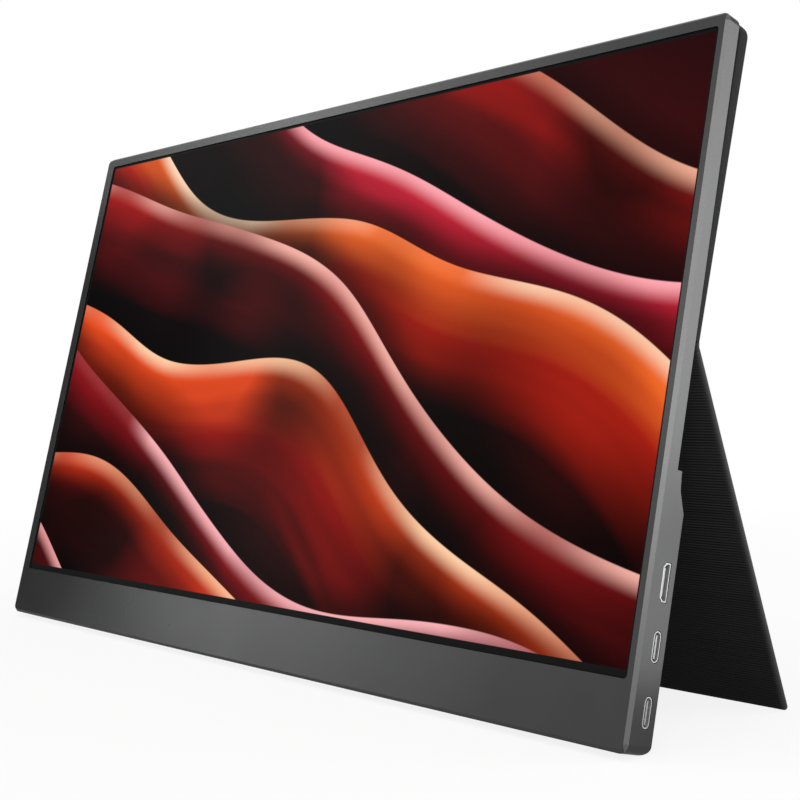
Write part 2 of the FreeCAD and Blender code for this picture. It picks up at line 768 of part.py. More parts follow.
shell = new_body("hdmi_shell")
sketch = sketch_on(shell, "YZ_Plane", "half_width - socket_recess")
hdmi_outline(sketch, "0")
pad(shell, sketch, "hdmi_length", "against")
sketch = sketch_on(shell, "YZ_Plane", "half_width - socket_recess")
hdmi_outline(sketch, "-socket_wall")
pocket(shell, sketch, "hdmi_length - socket_wall")
tongue = new_body("hdmi_tongue")
sketch = sketch_on(tongue, "YZ_Plane", "half_width - socket_recess - hdmi_length + socket_wall")
hdmi_outline(sketch, "-socket_wall - screw_clearance")
pad(tongue, sketch, "socket_base")
sketch = sketch_on(tongue, "YZ_Plane", "half_width - socket_recess - hdmi_length + socket_wall")
draw_box(sketch, "hdmi_depth - hdmi_tongue_shift - hdmi_tongue_thick / 2",
         "hdmi_depth - hdmi_tongue_shift + hdmi_tongue_thick / 2",
         "hdmi_height - hdmi_tongue_width / 2", "hdmi_height + hdmi_tongue_width / 2")
pad(tongue, sketch, "hdmi_length - socket_wall - tongue_set_back")
upright += [shell, tongue]

# Controls: a sprung power button, a menu wheel on its pin and the headphone jack.
button = new_body("power_button")
sketch = sketch_on(button, "YZ_Plane", "-half_width - button_proud")
draw_slot(sketch, "usb_depth", "power_height", "button_short", "button_long")
pad(button, sketch, "button_proud + flange_front")
dress(button, "Fillet", "button_proud / 2", lambda edge, middle: (
    near(middle.x, "-half_width - button_proud")))
sketch = sketch_on(button, "YZ_Plane", "flange_front - half_width")
draw_slot(sketch, "usb_depth", "power_height", "button_short", "button_long + 2 * flange_reach")
pad(button, sketch, "flange_thick")
plunger = new_body("power_plunger")
sketch = sketch_on(plunger, "YZ_Plane", "flange_back - half_width")
draw_circle(sketch, "usb_depth", "power_height", "plunger_radius")
pad(plunger, sketch, "plunger_length")
switch = new_body("power_switch")
sketch = sketch_on(switch, "YZ_Plane", "switch_front - half_width")
draw_box(sketch, "board_back", "board_back + switch_height",
         "power_height - switch_width / 2", "power_height + switch_width / 2")
pad(switch, sketch, "switch_length")
sketch = sketch_on(switch, "YZ_Plane", "switch_front - half_width")
draw_circle(sketch, "usb_depth", "power_height", "plunger_radius + plunger_clearance")
pocket(switch, sketch, "plunger_bore", "normal")
upright += [button, plunger, switch]

wheel = new_body("menu_wheel")
sketch = front_sketch(wheel, "wheel_front")
draw_circle(sketch, "0", "0", "wheel_radius")
draw_circle(sketch, "0", "0", "pin_radius + pin_clearance")
pad(wheel, sketch, "wheel_thick", "against")
sketch = front_sketch(wheel, "wheel_front")
draw_circle(sketch, "wheel_radius", "0", "wheel_groove_radius")
groove = pocket(wheel, sketch, "wheel_thick")
knurl = wheel.newObject("PartDesign::PolarPattern", "menu_wheel_knurl")
knurl.Originals = [groove]
knurl.Axis = (next(item for item in wheel.Origin.OriginFeatures if item.Role == "Y_Axis"), [""])
knurl.Angle = 360
knurl.Occurrences = groove_count
wheel.Tip = knurl
wheel_switch = new_body("wheel_switch")
for front, back, radius in (
        ("board_back", "board_back + wheel_base", "wheel_base_radius"),
        ("board_back", "wheel_back + wheel_side_gap", "pin_radius"),
        ("wheel_back + wheel_side_gap", "wheel_back + wheel_side_gap + pin_head_thick", "pin_head_radius")):
    sketch = front_sketch(wheel_switch, front)
    draw_circle(sketch, "0", "0", radius)
    pad(wheel_switch, sketch, f"{back} - ({front})", "against")
for piece in (wheel, wheel_switch):
    centre = FreeCAD.Vector(measure("wheel_across"), 0, measure("wheel_height"))
    piece.Placement = FreeCAD.Placement(centre, FreeCAD.Rotation())
upright += [wheel, wheel_switch]

jack = new_body("headphone_jack")
sketch = sketch_on(jack, "YZ_Plane", "jack_face - half_width")
draw_box(sketch, "board_back", "board_back + jack_tall",
         "jack_height - jack_width / 2", "jack_height + jack_width / 2")
pad(jack, sketch, "jack_length")
sketch = sketch_on(jack, "YZ_Plane", "jack_recess - half_width")
draw_circle(sketch, "jack_depth", "jack_height", "jack_nose_radius")
pad(jack, sketch, "jack_face - jack_recess")
sketch = sketch_on(jack, "YZ_Plane", "jack_recess - half_width")
draw_circle(sketch, "jack_depth", "jack_height", "jack_bore_radius")
pocket(jack, sketch, "jack_bore_length", "normal")
upright.append(jack)

for side, sign in (("left", "-"), ("right", "")):
    speaker = new_body(side + "_speaker")
    middle = f"{sign}speaker_spacing / 2"
    sketch = front_sketch(speaker, "speaker_front")
    draw_rounded(sketch, f"{middle} - speaker_length / 2", f"{middle} + speaker_length / 2",
                 "speaker_bottom", "speaker_bottom + speaker_height", "speaker_radius")
    pad(speaker, sketch, "speaker_depth", "against")
    sketch = sketch_on(speaker, "XY_Plane", "speaker_bottom")
    draw_box(sketch, f"{middle} - speaker_length / 2 + speaker_radius",
             f"{middle} + speaker_length / 2 - speaker_radius",
             "slot_depth - slot_width / 2", "slot_depth + slot_width / 2")
    pocket(speaker, sketch, "speaker_mouth", "normal")
    upright.append(speaker)


# Cover: two laminated panels that meet at a crease. Each is drawn upwards from the crease's axis.
def laminated_panel(label, length, corner, board, front):
    """A skin turned over the edges of a stiffener board, with a lining in front."""
    inner_half = "cover_half - skin_thick"
    low, far = "crease_gap + crease_band", f"{length} - skin_thick"
    skin = new_body(label + "_skin")
    sketch = front_sketch(skin, "crease_inset")
    draw_tab(sketch, "cover_half", "crease_gap", length, corner)
    pad(skin, sketch, f"skin_thick + {board}")
    dress(skin, "Fillet", "skin_round", lambda edge, middle: (
        near(middle.y, "crease_inset") and not near(middle.z, "crease_gap")))
    sketch = front_sketch(skin, front)
    draw_tab(sketch, inner_half, low, far, f"{corner} - skin_thick")
    pocket(skin, sketch, board)
    stiffener = new_body(label + "_stiffener")
    sketch = front_sketch(stiffener, front)
    draw_tab(sketch, f"{inner_half} - screw_clearance", f"{low} + screw_clearance",
             f"{far} - screw_clearance", f"{corner} - skin_thick")
    pad(stiffener, sketch, board, "against")
    lining = new_body(label + "_lining")
    sketch = front_sketch(lining, front)
    draw_tab(sketch, "cover_half - lining_inset", "crease_gap + lining_inset",
             f"{length} - lining_inset", f"{corner} - lining_inset")
    pad(lining, sketch, "lining_thick")
    return [skin, stiffener, lining]


upper = laminated_panel("upper", "upper_length", "upper_corner", "stiffener_thick", "skin_front")
leg = laminated_panel("leg", "leg_length", "leg_corner", "leg_stiffener_thick", "leg_skin_front")

sketch = sketch_on(upper[0], "XY_Plane", "crease_gap")
draw_box(sketch, "-cover_half - overrun", "cover_half + overrun",
         "-tongue_thick / 2 - screw_clearance", "tongue_thick / 2 + screw_clearance")
pocket(upper[0], sketch, "tongue_depth", "normal")
strip = new_body("fold_strip")
sketch = sketch_on(strip, "YZ_Plane")
draw_circle(sketch, "0", "0", "crease_radius")
pad(strip, sketch, "2 * cover_half", "both")
sketch = sketch_on(strip, "YZ_Plane")
draw_box(sketch, "-tongue_thick / 2", "tongue_thick / 2", "0",
         "crease_gap + tongue_depth - screw_clearance")
pad(strip, sketch, "2 * cover_half", "both")

magnet_pad = new_body("magnet_pad")
sketch = sketch_on(magnet_pad, "YZ_Plane")
draw_outline(sketch, [("lining_front", "pad_start"), ("lining_front", "pad_top"),
                      ("pad_top_front", "pad_top"), ("pad_bottom_front", "pad_start")])
pad(magnet_pad, sketch, "2 * cover_half", "both")
dress(magnet_pad, "Fillet", "upper_corner", lambda edge, middle: (
    near(abs(middle.x), "cover_half") and near(middle.z, "pad_top")))
magnets = []
sketch = front_sketch(magnet_pad, "lining_front")
for number in range(magnet_count):
    middle = f"magnet_pitch * {number - (magnet_count - 1) / 2}"
    left, right = f"{middle} - magnet_length / 2", f"{middle} + magnet_length / 2"
    bottom, top = "magnet_middle - magnet_height / 2", "magnet_middle + magnet_height / 2"
    draw_box(sketch, f"{left} - screw_clearance", f"{right} + screw_clearance",
             f"{bottom} - screw_clearance", f"{top} + screw_clearance")
    magnets.append(block(f"magnet_{number + 1}", left, right, "lining_front - magnet_thick",
                         "lining_front", bottom, top))
pocket(magnet_pad, sketch, "magnet_thick + screw_clearance", "normal")
upper += [strip, magnet_pad, group_of("cover_magnets", magnets)]

# Stand: the floor touches the housing's rounded lower edge and the leg's foot, which sets the tilt.
foot_run = "fold_depth + leg_length * sin(leg_angle) + leg_skin_front * cos(leg_angle)"
foot_rise = "fold_height - leg_length * cos(leg_angle) + leg_skin_front * sin(leg_angle)"
run = measure(f"{foot_run} - (thick_depth - foot_radius)")
rise = measure(f"{foot_rise} - foot_radius")
leg_angle = measure("leg_angle")
tilt = degrees(atan2(rise, run) + asin(measure("foot_radius") / hypot(run, rise)))
lean_back = FreeCAD.Rotation(x_axis, -tilt)
edge_centre = lean_back.multVec(
    FreeCAD.Vector(0, measure("thick_depth - foot_radius"), measure("foot_radius")))
front_edge = lean_back.multVec(FreeCAD.Vector(0, 0, measure("bezel_chamfer"))).y
fold_place = lean_back.multVec(FreeCAD.Vector(0, measure("fold_depth"), measure("fold_height")))
heel = FreeCAD.Rotation(x_axis, leg_angle - tilt).multVec(
    FreeCAD.Vector(0, measure("crease_inset - skin_round"), -measure("leg_length - skin_round")))
middle_depth = (front_edge + fold_place.y + heel.y + measure("skin_round")) / 2
stand = FreeCAD.Placement(
    FreeCAD.Vector(0, -middle_depth, measure("foot_radius") - edge_centre.z), lean_back)
crease = stand.multiply(FreeCAD.Placement(
    FreeCAD.Vector(0, measure("fold_depth"), measure("fold_height")), FreeCAD.Rotation()))
upper_place = crease.multiply(FreeCAD.Placement(
    FreeCAD.Vector(), FreeCAD.Rotation(x_axis, -measure("cover_lean"))))
leg_place = crease.multiply(FreeCAD.Placement(
    FreeCAD.Vector(), FreeCAD.Rotation(x_axis, leg_angle).multiply(FreeCAD.Rotation(y_axis, 180))))
for pieces, place in ((upright, stand), (upper, upper_place), (leg, leg_place)):
    for piece in pieces:
        piece.Placement = place.multiply(piece.Placement)
doc.recompute()

for item in doc.Objects:
    if "Invalid" in item.State or "Error" in item.State:
        raise RuntimeError(f"{item.Label} failed: {item.State}")
pieces = upright + upper + leg
for piece in pieces:
    if piece.Shape.isNull() or not piece.Shape.isValid() or not piece.Shape.Solids:
        raise RuntimeError(f"{piece.Label} is not a valid solid")
os.makedirs("parts", exist_ok=True)
for piece in pieces:
    piece.Shape.exportStep(os.path.join("parts", piece.Label + ".step"))
bounds = FreeCAD.BoundBox()
for piece in pieces:
    bounds.add(piece.Shape.BoundBox)
print("pieces", len(pieces), "box", bounds)
print("tilt", tilt, "stand at", stand.Base, "crease at", crease.Base)
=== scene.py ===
import json
import math
import bmesh
import bpy
from mathutils import Euler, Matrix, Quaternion, Vector


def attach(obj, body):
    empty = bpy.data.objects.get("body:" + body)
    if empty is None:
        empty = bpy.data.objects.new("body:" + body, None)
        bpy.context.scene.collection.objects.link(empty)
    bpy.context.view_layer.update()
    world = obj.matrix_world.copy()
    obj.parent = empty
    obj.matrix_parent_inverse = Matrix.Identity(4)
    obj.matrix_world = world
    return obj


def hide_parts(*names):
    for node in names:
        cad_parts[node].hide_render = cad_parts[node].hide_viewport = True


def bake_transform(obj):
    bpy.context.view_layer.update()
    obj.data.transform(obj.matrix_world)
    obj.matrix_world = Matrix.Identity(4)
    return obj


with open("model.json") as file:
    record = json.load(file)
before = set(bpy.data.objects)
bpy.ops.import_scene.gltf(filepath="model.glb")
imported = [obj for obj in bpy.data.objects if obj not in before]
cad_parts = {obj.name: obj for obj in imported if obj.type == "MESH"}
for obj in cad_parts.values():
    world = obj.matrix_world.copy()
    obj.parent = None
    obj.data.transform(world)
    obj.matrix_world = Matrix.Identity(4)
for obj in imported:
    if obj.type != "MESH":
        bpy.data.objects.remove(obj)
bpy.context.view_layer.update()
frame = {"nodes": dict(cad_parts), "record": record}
nodes = frame["nodes"]
mm = 0.001

# where the monitor and the cover stand, as the solids have them
angles = {"tilt": 14.298053939794668, "panelLean": 1.85, "legAngle": 36.48}
stand = {
    "tilt": math.radians(angles["tilt"]),
    "foot": Vector((0, -42.792841 * mm, 2.266229 * mm)),     # front lower corner of the case
    "crease": Vector((0, -5.020874 * mm, 115.649996 * mm)),  # the leg turns about this line
    "lean": math.radians(angles["tilt"] + angles["panelLean"]),
    "legSlope": math.radians(angles["legAngle"] - angles["tilt"]),
}
print("frame loaded,", len(nodes), "nodes")


# modelling helpers
def clearSelection():
    if bpy.context.mode != "OBJECT":
        bpy.ops.object.mode_set(mode="OBJECT")
    bpy.ops.object.select_all(action="DESELECT")


def addBox(name, low, high):
    clearSelection()
    middle = [(a + b) / 2 * mm for a, b in zip(low, high)]
    size = [(b - a) * mm for a, b in zip(low, high)]
    bpy.ops.mesh.primitive_cube_add(size=1, location=middle, scale=size)
    piece = bpy.context.object
    piece.name = name
    piece.data.name = name
    bpy.ops.object.transform_apply(location=True, rotation=True, scale=True)
    return piece


def startPick():
    mesh = bmesh.from_edit_mesh(bpy.context.object.data)
    for part in (mesh.verts, mesh.edges, mesh.faces):
        for item in part:
            item.select = False
    return mesh


def pickEdges(test):
    # middle and direction of each edge go to the test, in mm
    mesh = startPick()
    for edge in mesh.edges:
        a, b = (v.co / mm for v in edge.verts)
        if test((a + b) / 2, (b - a).normalized()):
            edge.select_set(True)
    bmesh.update_edit_mesh(bpy.context.object.data)


def pickFaces(test):
    # middle and normal of each face go to the test, in mm
    mesh = startPick()
    mesh.normal_update()
    for face in mesh.faces:
        if test(face.calc_center_median() / mm, face.normal):
            face.select_set(True)
    bmesh.update_edit_mesh(bpy.context.object.data)


def setEdit(piece):
    clearSelection()
    bpy.context.view_layer.objects.active = piece
    piece.select_set(True)
    bpy.ops.object.mode_set(mode="EDIT")
    bpy.ops.mesh.select_mode(type="EDGE")


def finishPiece(piece, turn=0.0, place=(0, 0, 0), smooth=35):
    clearSelection()
    bpy.context.view_layer.objects.active = piece
    piece.select_set(True)
    piece.rotation_euler = Euler((turn, 0, 0))
    piece.location = place
    bpy.ops.object.transform_apply(location=True, rotation=True, scale=True)
    bpy.ops.object.shade_smooth_by_angle(angle=math.radians(smooth))
    clearSelection()
    return piece


# shader helper
class Sock:
    def __init__(self, tree, out=None):
        self.tree = tree
        self.out = out

    def node(self, kind, settings=None, values=None, give=0):
        made = self.tree.nodes.new("ShaderNode" + kind)
        for key, value in (settings or {}).items():
            if key == "stops":
                ramp = made.color_ramp
                while len(ramp.elements) < len(value):
                    ramp.elements.new(0.5)
                for spot, (place, colour) in zip(ramp.elements, value):
                    spot.position = place
                    spot.color = colour
            else:
                setattr(made, key, value)
        for key, value in (values or {}).items():
            if isinstance(value, Sock):
                self.tree.links.new(value.out, made.inputs[key])
            else:
                made.inputs[key].default_value = value
        return Sock(self.tree, made.outputs[give] if len(made.outputs) else None)

    def maths(self, operation, *terms):
        return self.node("Math", {"operation": operation}, dict(enumerate(terms)))

    def __add__(self, other):
        return self.maths("ADD", self, other)

    def __radd__(self, other):
        return self.maths("ADD", other, self)

    def __sub__(self, other):
        return self.maths("SUBTRACT", self, other)

    def __rsub__(self, other):
        return self.maths("SUBTRACT", other, self)

    def __mul__(self, other):
        return self.maths("MULTIPLY", self, other)

    def __rmul__(self, other):
        return self.maths("MULTIPLY", other, self)

    def __truediv__(self, other):
        return self.maths("DIVIDE", self, other)


def startMaterial(name):
    material = bpy.data.materials.new(name)
    material.use_nodes = True
    material.node_tree.nodes.clear()
    return material, Sock(material.node_tree)


def objectSpot(s):
    return s.node("TexCoord", give="Object")


def objectAxes(s):
    spot = objectSpot(s)
    return spot, [s.node("SeparateXYZ", None, {"Vector": spot}, give=axis) for axis in "XYZ"]


def noise(s, spot, scale, detail=2.0, roughness=0.5):
    return s.node("TexNoise", None, {"Vector": spot, "Scale": scale, "Detail": detail,
                                     "Roughness": roughness}, give="Fac")


def ramp(s, value, *stops):
    return s.node("ValToRGB", {"stops": stops}, {"Fac": value}, give="Color")


def spread(s, value, low, high, first, last):
    return s.node("MapRange", {"clamp": True}, {"Value": value, "From Min": low, "From Max": high,
                                                "To Min": first, "To Max": last}, give="Result")


def softStep(s, value, low, high):
    return s.node("MapRange", {"clamp": True, "interpolation_type": "SMOOTHSTEP"},
                  {"Value": value, "From Min": low, "From Max": high}, give="Result")


def blendColour(s, factor, first, second):
    return s.node("Mix", {"data_type": "RGBA"}, {"Factor": factor, 6: first, 7: second}, give=2)


def grey(level, tint=(1, 1, 1)):
    # a written sRGB level from 0 to 255 as a linear colour
    share = level / 255
    linear = share / 12.92 if share < 0.04045 else ((share + 0.055) / 1.055) ** 2.4
    return (linear * tint[0], linear * tint[1], linear * tint[2], 1)


def colour(red, green, blue):
    return tuple(grey(level)[0] for level in (red, green, blue)) + (1,)


def bump(s, height, strength, distance):
    return s.node("Bump", None, {"Height": height, "Strength": strength, "Distance": distance})


def closeMaterial(s, surface):
    s.node("OutputMaterial", None, {"Surface": surface})


# finishes
def makeAluminium(name, cutEdge):
    finish = {"dark": 59, "light": 66, "roughness": 0.29, "grain": 5200, "cloud": 14,
              "cut": 92, "cutRoughness": 0.27, "grazing": 0.6, "before": 0.04, "after": 0.06}
    case = {"half": 177.7, "height": 222.0, "chamfer": 1.1}
    material, s = startMaterial(name)
    spot, (x, y, z) = objectAxes(s)
    blast = noise(s, spot, finish["grain"], 3)
    cloud = noise(s, spot, finish["cloud"], 4, 0.6)
    base = ramp(s, blast * 0.5 + cloud * 0.5, (0.3, grey(finish["dark"], (0.99, 1, 1.02))),
                (0.7, grey(finish["light"], (1, 1, 1.01))))
    rough = spread(s, cloud, 0.3, 0.7, finish["roughness"] - 0.03, finish["roughness"] + 0.04)
    if cutEdge:  # the chamfer is cut after the blast, so it is brighter and smoother
        foot, tilt, low = stand["foot"], stand["tilt"], case["chamfer"]
        before, after = finish["before"], finish["after"]
        side = softStep(s, s.maths("ABSOLUTE", x / mm), case["half"] - low - before, case["half"] - low + after)
        up = (y - foot.y) * (math.sin(tilt) / mm) + (z - foot.z) * (math.cos(tilt) / mm)
        deep = (y - foot.y) * (math.cos(tilt) / mm) - (z - foot.z) * (math.sin(tilt) / mm)
        top = softStep(s, up, case["height"] - low - before, case["height"] - low + after)
        cut = s.maths("MAXIMUM", side, top) * softStep(s, deep, low + after, low - before)
        base = blendColour(s, cut, base, grey(finish["cut"]))
        rough = rough + cut * (finish["cutRoughness"] - finish["roughness"])
    surface = s.node("BsdfPrincipled", None, {
        "Base Color": base, "Metallic": 1.0, "Roughness": rough,
        "Specular Tint": (finish["grazing"],) * 3 + (1,),   # the dyed oxide dulls grazing light
        "Normal": bump(s, blast, 0.05, 0.00005)})
    closeMaterial(s, surface)
    return material


def makeScreen():
    picture = {"left": -170.4, "bottom": 22.9, "width": 344.2, "height": 193.6, "border": 22, "unlit": 2,
               "fall": math.radians(-21), "edge": 0.0008, "drift": 0.10, "ripple": 0.35, "gleam": 0.042,
               "shadow": 0.075, "shade": 0.62, "seam": (-0.0012, 0.0018), "halo": 0.10,
               "driftScale": 1.1, "poolScale": 1.7, "silkScale": 1.5, "glintScale": 1.9}
    # layered dunes from the back to the front: crest height, swell, waves, phase, depth, then the rim
    # light and the colours from just under the crest to the deep
    dunes = [
        (1.44, 0.060, 0.50, 0.4, 0.30, (255, 190, 160), ((176, 26, 20), (84, 10, 12), (20, 3, 5))),
        (1.24, 0.085, 0.42, 2.3, 0.34, (255, 168, 176), ((206, 34, 60), (122, 14, 22), (26, 4, 7))),
        (1.04, 0.070, 0.55, 4.0, 0.36, (255, 216, 184), ((243, 108, 40), (190, 34, 18), (58, 8, 8))),
        (0.86, 0.095, 0.38, 1.1, 0.30, (250, 182, 170), ((160, 18, 20), (74, 8, 12), (10, 2, 4))),
        (0.66, 0.080, 0.60, 5.2, 0.38, (255, 206, 166), ((232, 78, 30), (150, 20, 16), (36, 5, 6))),
        (0.47, 0.090, 0.44, 2.9, 0.30, (248, 176, 180), ((142, 16, 24), (62, 7, 11), (8, 2, 3))),
        (0.27, 0.070, 0.52, 0.2, 0.34, (255, 188, 146), ((212, 54, 24), (116, 14, 14), (24, 3, 5))),
        (0.10, 0.055, 0.58, 3.6, 0.26, (240, 160, 160), ((104, 12, 16), (46, 6, 9), (6, 2, 2))),
    ]
    material, s = startMaterial("litScreen")
    spot, (x, y, z) = objectAxes(s)
    foot, tilt = stand["foot"], stand["tilt"]
    across = (x / mm - picture["left"]) / picture["width"]
    up = ((y - foot.y) * (math.sin(tilt) / mm) + (z - foot.z) * (math.cos(tilt) / mm)
          - picture["bottom"]) / picture["height"]
    wide = across * (picture["width"] / picture["height"])
    fall = picture["fall"]
    along = wide * math.cos(fall) + up * math.sin(fall)
    height = up * math.cos(fall) - wide * math.sin(fall)
    flat = s.node("CombineXYZ", None, {"X": wide, "Y": up, "Z": 0.0})
    drift = noise(s, flat, picture["driftScale"], 1) - 0.5
    pool = spread(s, noise(s, flat, picture["poolScale"], 1), 0.40, 0.60, 0.10, 1.0)
    black = (0, 0, 0, 1)
    shown = ramp(s, height - 1.2, (0.1, colour(64, 8, 12)), (0.5, colour(8, 2, 4)))
    for rise, swell, waves, phase, depth, rim, stops in dunes:
        turn = along * (waves * 2 * math.pi) + phase
        ripple = swell * picture["ripple"] * s.maths("SINE", turn * 2.1 + phase * 2)
        crest = rise + swell * s.maths("SINE", turn) + ripple + drift * picture["drift"]
        below = crest - height
        strand = s.node("CombineXYZ", None, {"X": along * 0.7 + phase, "Y": below * 6, "Z": phase})
        silk = noise(s, strand, picture["silkScale"], 2)
        tone = below / depth + (silk - 0.5) * 0.7
        body = ramp(s, tone, (0.0, colour(*stops[0])), (0.38, colour(*stops[1])), (0.80, colour(*stops[2])))
        lit = s.maths("MINIMUM", pool + softStep(s, below, picture["halo"], 0.0) * 0.4, 1.0)
        body = blendColour(s, lit, black, body)
        rimLine = s.node("CombineXYZ", None, {"X": along, "Y": phase, "Z": 0.0})
        glint = noise(s, rimLine, picture["glintScale"], 1)
        gleam = softStep(s, below, picture["gleam"], 0.0) * spread(s, glint, 0.36, 0.56, 0.06, 1.0)
        body = blendColour(s, gleam, body, colour(*rim))
        # the dune in front drops a shadow on the one behind
        shade = softStep(s, below, -picture["shadow"], 0.0) * picture["shade"]
        shown = blendColour(s, shade, shown, black)
        shown = blendColour(s, softStep(s, below, *picture["seam"]), shown, body)
    edge = picture["edge"]
    inside = (softStep(s, across, 0, edge) * softStep(s, 1 - across, 0, edge)
              * softStep(s, up, 0, edge * 1.8) * softStep(s, 1 - up, 0, edge * 1.8))
    surface = s.node("BsdfPrincipled", None, {
        "Base Color": blendColour(s, inside, grey(picture["border"]), grey(picture["unlit"])),
        "Roughness": spread(s, noise(s, spot, 900), 0, 1, 0.30, 0.36), "Specular IOR Level": 0.012,
        "Emission Color": blendColour(s, inside, black, shown), "Emission Strength": 1.0})
    closeMaterial(s, surface)
    return material


def makePlain(name, dark, light, scale, rough, metallic=0.0, grain=0.1, extra=None):
    # a finish that varies between two colours over a fine noise
    material, s = startMaterial(name)
    spot = objectSpot(s)
    fine = noise(s, spot, scale, 3, 0.6)
    cloud = noise(s, spot, scale * 0.04, 3)
    values = {
        "Base Color": ramp(s, fine * 0.6 + cloud * 0.4, (0.35, dark), (0.65, light)),
        "Metallic": metallic, "Roughness": spread(s, fine, 0.3, 0.7, rough - 0.05, rough + 0.06),
        "Normal": bump(s, fine, grain, 0.00008)}
    values.update(extra or {})
    closeMaterial(s, s.node("BsdfPrincipled", None, values))
    return material


def makeCircuit():
    board = {"cell": 420.0, "trace": (0.04, 0.10), "cloud": 60}
    material, s = startMaterial("greenBoard")
    spot = objectSpot(s)
    cells = s.node("TexVoronoi", {"feature": "DISTANCE_TO_EDGE", "distance": "CHEBYCHEV"},
                   {"Vector": spot, "Scale": board["cell"]}, give="Distance")
    traces = softStep(s, cells, *board["trace"])
    cloud = noise(s, spot, board["cloud"], 3)
    lacquer = ramp(s, cloud, (0.3, colour(10, 46, 34)), (0.7, colour(14, 58, 40)))
    base = blendColour(s, traces, colour(34, 92, 62), lacquer)
    closeMaterial(s, s.node("BsdfPrincipled", None, {
        "Base Color": base, "Roughness": spread(s, traces, 0, 1, 0.3, 0.45),
        "Normal": bump(s, traces, 0.2, 0.00005)}))
    return material


def makeTongue():
    # grey plastic with plated contacts side by side
    tongue = {"pitch": 0.5, "contact": (0.20, 0.28), "grain": 2500, "dark": 118, "light": 132, "plated": 138}
    material, s = startMaterial("socketTongue")
    spot, (_, _, z) = objectAxes(s)
    lane = s.maths("ABSOLUTE", s.maths("FRACT", z / (tongue["pitch"] * mm)) - 0.5)
    contact = softStep(s, lane, *tongue["contact"])
    plastic = ramp(s, noise(s, spot, tongue["grain"]), (0.3, grey(tongue["dark"])), (0.7, grey(tongue["light"])))
    closeMaterial(s, s.node("BsdfPrincipled", None, {
        "Base Color": blendColour(s, contact, plastic, grey(tongue["plated"])),
        "Metallic": contact * 0.6, "Roughness": spread(s, contact, 0, 1, 0.5, 0.3),
        "Normal": bump(s, contact, 0.2, 0.00004)}))
    return material


def makeLedStrip():
    bar = {"pitch": 9.0, "lamp": (0.22, 0.16), "grain": 400, "dark": 190, "light": 214}
    material, s = startMaterial("ledBar")
    spot, (x, _, _) = objectAxes(s)
    beat = s.maths("FRACT", x / (bar["pitch"] * mm))
    lamp = softStep(s, s.maths("ABSOLUTE", beat - 0.5), *bar["lamp"])
    strip = ramp(s, noise(s, spot, bar["grain"], 2), (0.3, grey(bar["dark"])), (0.7, grey(bar["light"])))
    base = blendColour(s, lamp, strip, colour(238, 206, 92))
    closeMaterial(s, s.node("BsdfPrincipled", None, {"Base Color": base, "Roughness": 0.4}))
    return material


def makeRibbon():
    ribbon = {"pitch": 0.8, "track": (0.18, 0.26), "grain": 700}
    material, s = startMaterial("copperRibbon")
    spot, (x, _, _) = objectAxes(s)
    lane = s.maths("ABSOLUTE", s.maths("FRACT", x / (ribbon["pitch"] * mm)) - 0.5)
    track = softStep(s, lane, *ribbon["track"])
    base = blendColour(s, track, colour(170, 98, 30), colour(126, 66, 20))
    closeMaterial(s, s.node("BsdfPrincipled", None, {
        "Base Color": base, "Roughness": spread(s, noise(s, spot, ribbon["grain"]), 0.3, 0.7, 0.3, 0.42),
        "Normal": bump(s, track, 0.2, 0.00004)}))
    return material


def alongPanel(s, y, z, slope):
    # distance along the panel from the crease, in mm
    crease = stand["crease"]
    return (y - crease.y) * (math.sin(slope) / mm) + (z - crease.z) * (math.cos(slope) / mm)


def makeRibbedCloth(name, slope, dark, light, rim, withPaintedShade=False):
    # fine ribs that run across the panel, of uneven depth, with threads between them, and a rim tone along the
    # side edges, a painted highlight where it is lighter; with painted shade the cloth is darker towards the foot
    # and the middle
    cloth = {"pitch": 0.92, "long": 9, "thread": 0.45, "roughness": 0.6, "half": 177.3, "paintedRim": 2.2,
             "shadeAlong": (-8, -118), "shadeAcross": (95, 172)}
    material, s = startMaterial(name)
    _, (x, y, z) = objectAxes(s)
    along = alongPanel(s, y, z, slope)
    sideways = s.maths("ABSOLUTE", x / mm)
    sway = noise(s, s.node("CombineXYZ", None, {"X": x * 14, "Y": along * 0.15, "Z": 1.0}), 1.0, 2)
    rib = s.maths("SINE", along * (2 * math.pi / cloth["pitch"]) + sway * 3) * 0.5 + 0.5
    streak = s.node("CombineXYZ", None, {"X": x * cloth["long"], "Y": along * 2.2, "Z": 0.0})
    lines = noise(s, streak, 1.0, 3, 0.62)
    bands = noise(s, s.node("CombineXYZ", None, {"X": x * 5, "Y": along * 0.10, "Z": 3.0}), 1.0, 2)
    thread = s.maths("SINE", x * (2 * math.pi / (cloth["thread"] * mm))) * 0.06
    base = ramp(s, rib * 0.45 + lines * 0.42 + bands * 0.13, (0.22, grey(dark)), (0.78, grey(light)))
    # band along the side edges that takes the rim tone, a painted highlight where it is lighter than the cloth
    edge = softStep(s, sideways, cloth["half"] - cloth["paintedRim"], cloth["half"])
    if withPaintedShade:
        # painted shade: darker towards the foot and towards the middle of the leg
        paintedShade = spread(s, along, *cloth["shadeAlong"], 1.0, 0.22) * spread(s, sideways, *cloth["shadeAcross"], 0.45, 1.0)
        base = blendColour(s, paintedShade, grey(1), base)
    base = blendColour(s, edge * (0.75 + rib * 0.25), base, grey(rim))
    rough = cloth["roughness"]
    closeMaterial(s, s.node("BsdfPrincipled", None, {
        "Base Color": base, "Roughness": spread(s, rib * 0.5 + lines * 0.5, 0.2, 0.8, rough + 0.08, rough - 0.06),
        "Specular IOR Level": 0.05, "Sheen Weight": 0.02, "Sheen Roughness": 0.5,
        "Normal": bump(s, (rib * 0.7 + lines * 0.4 + thread) * (1 - edge * 0.6), 0.4, 0.00014)}))
    return material


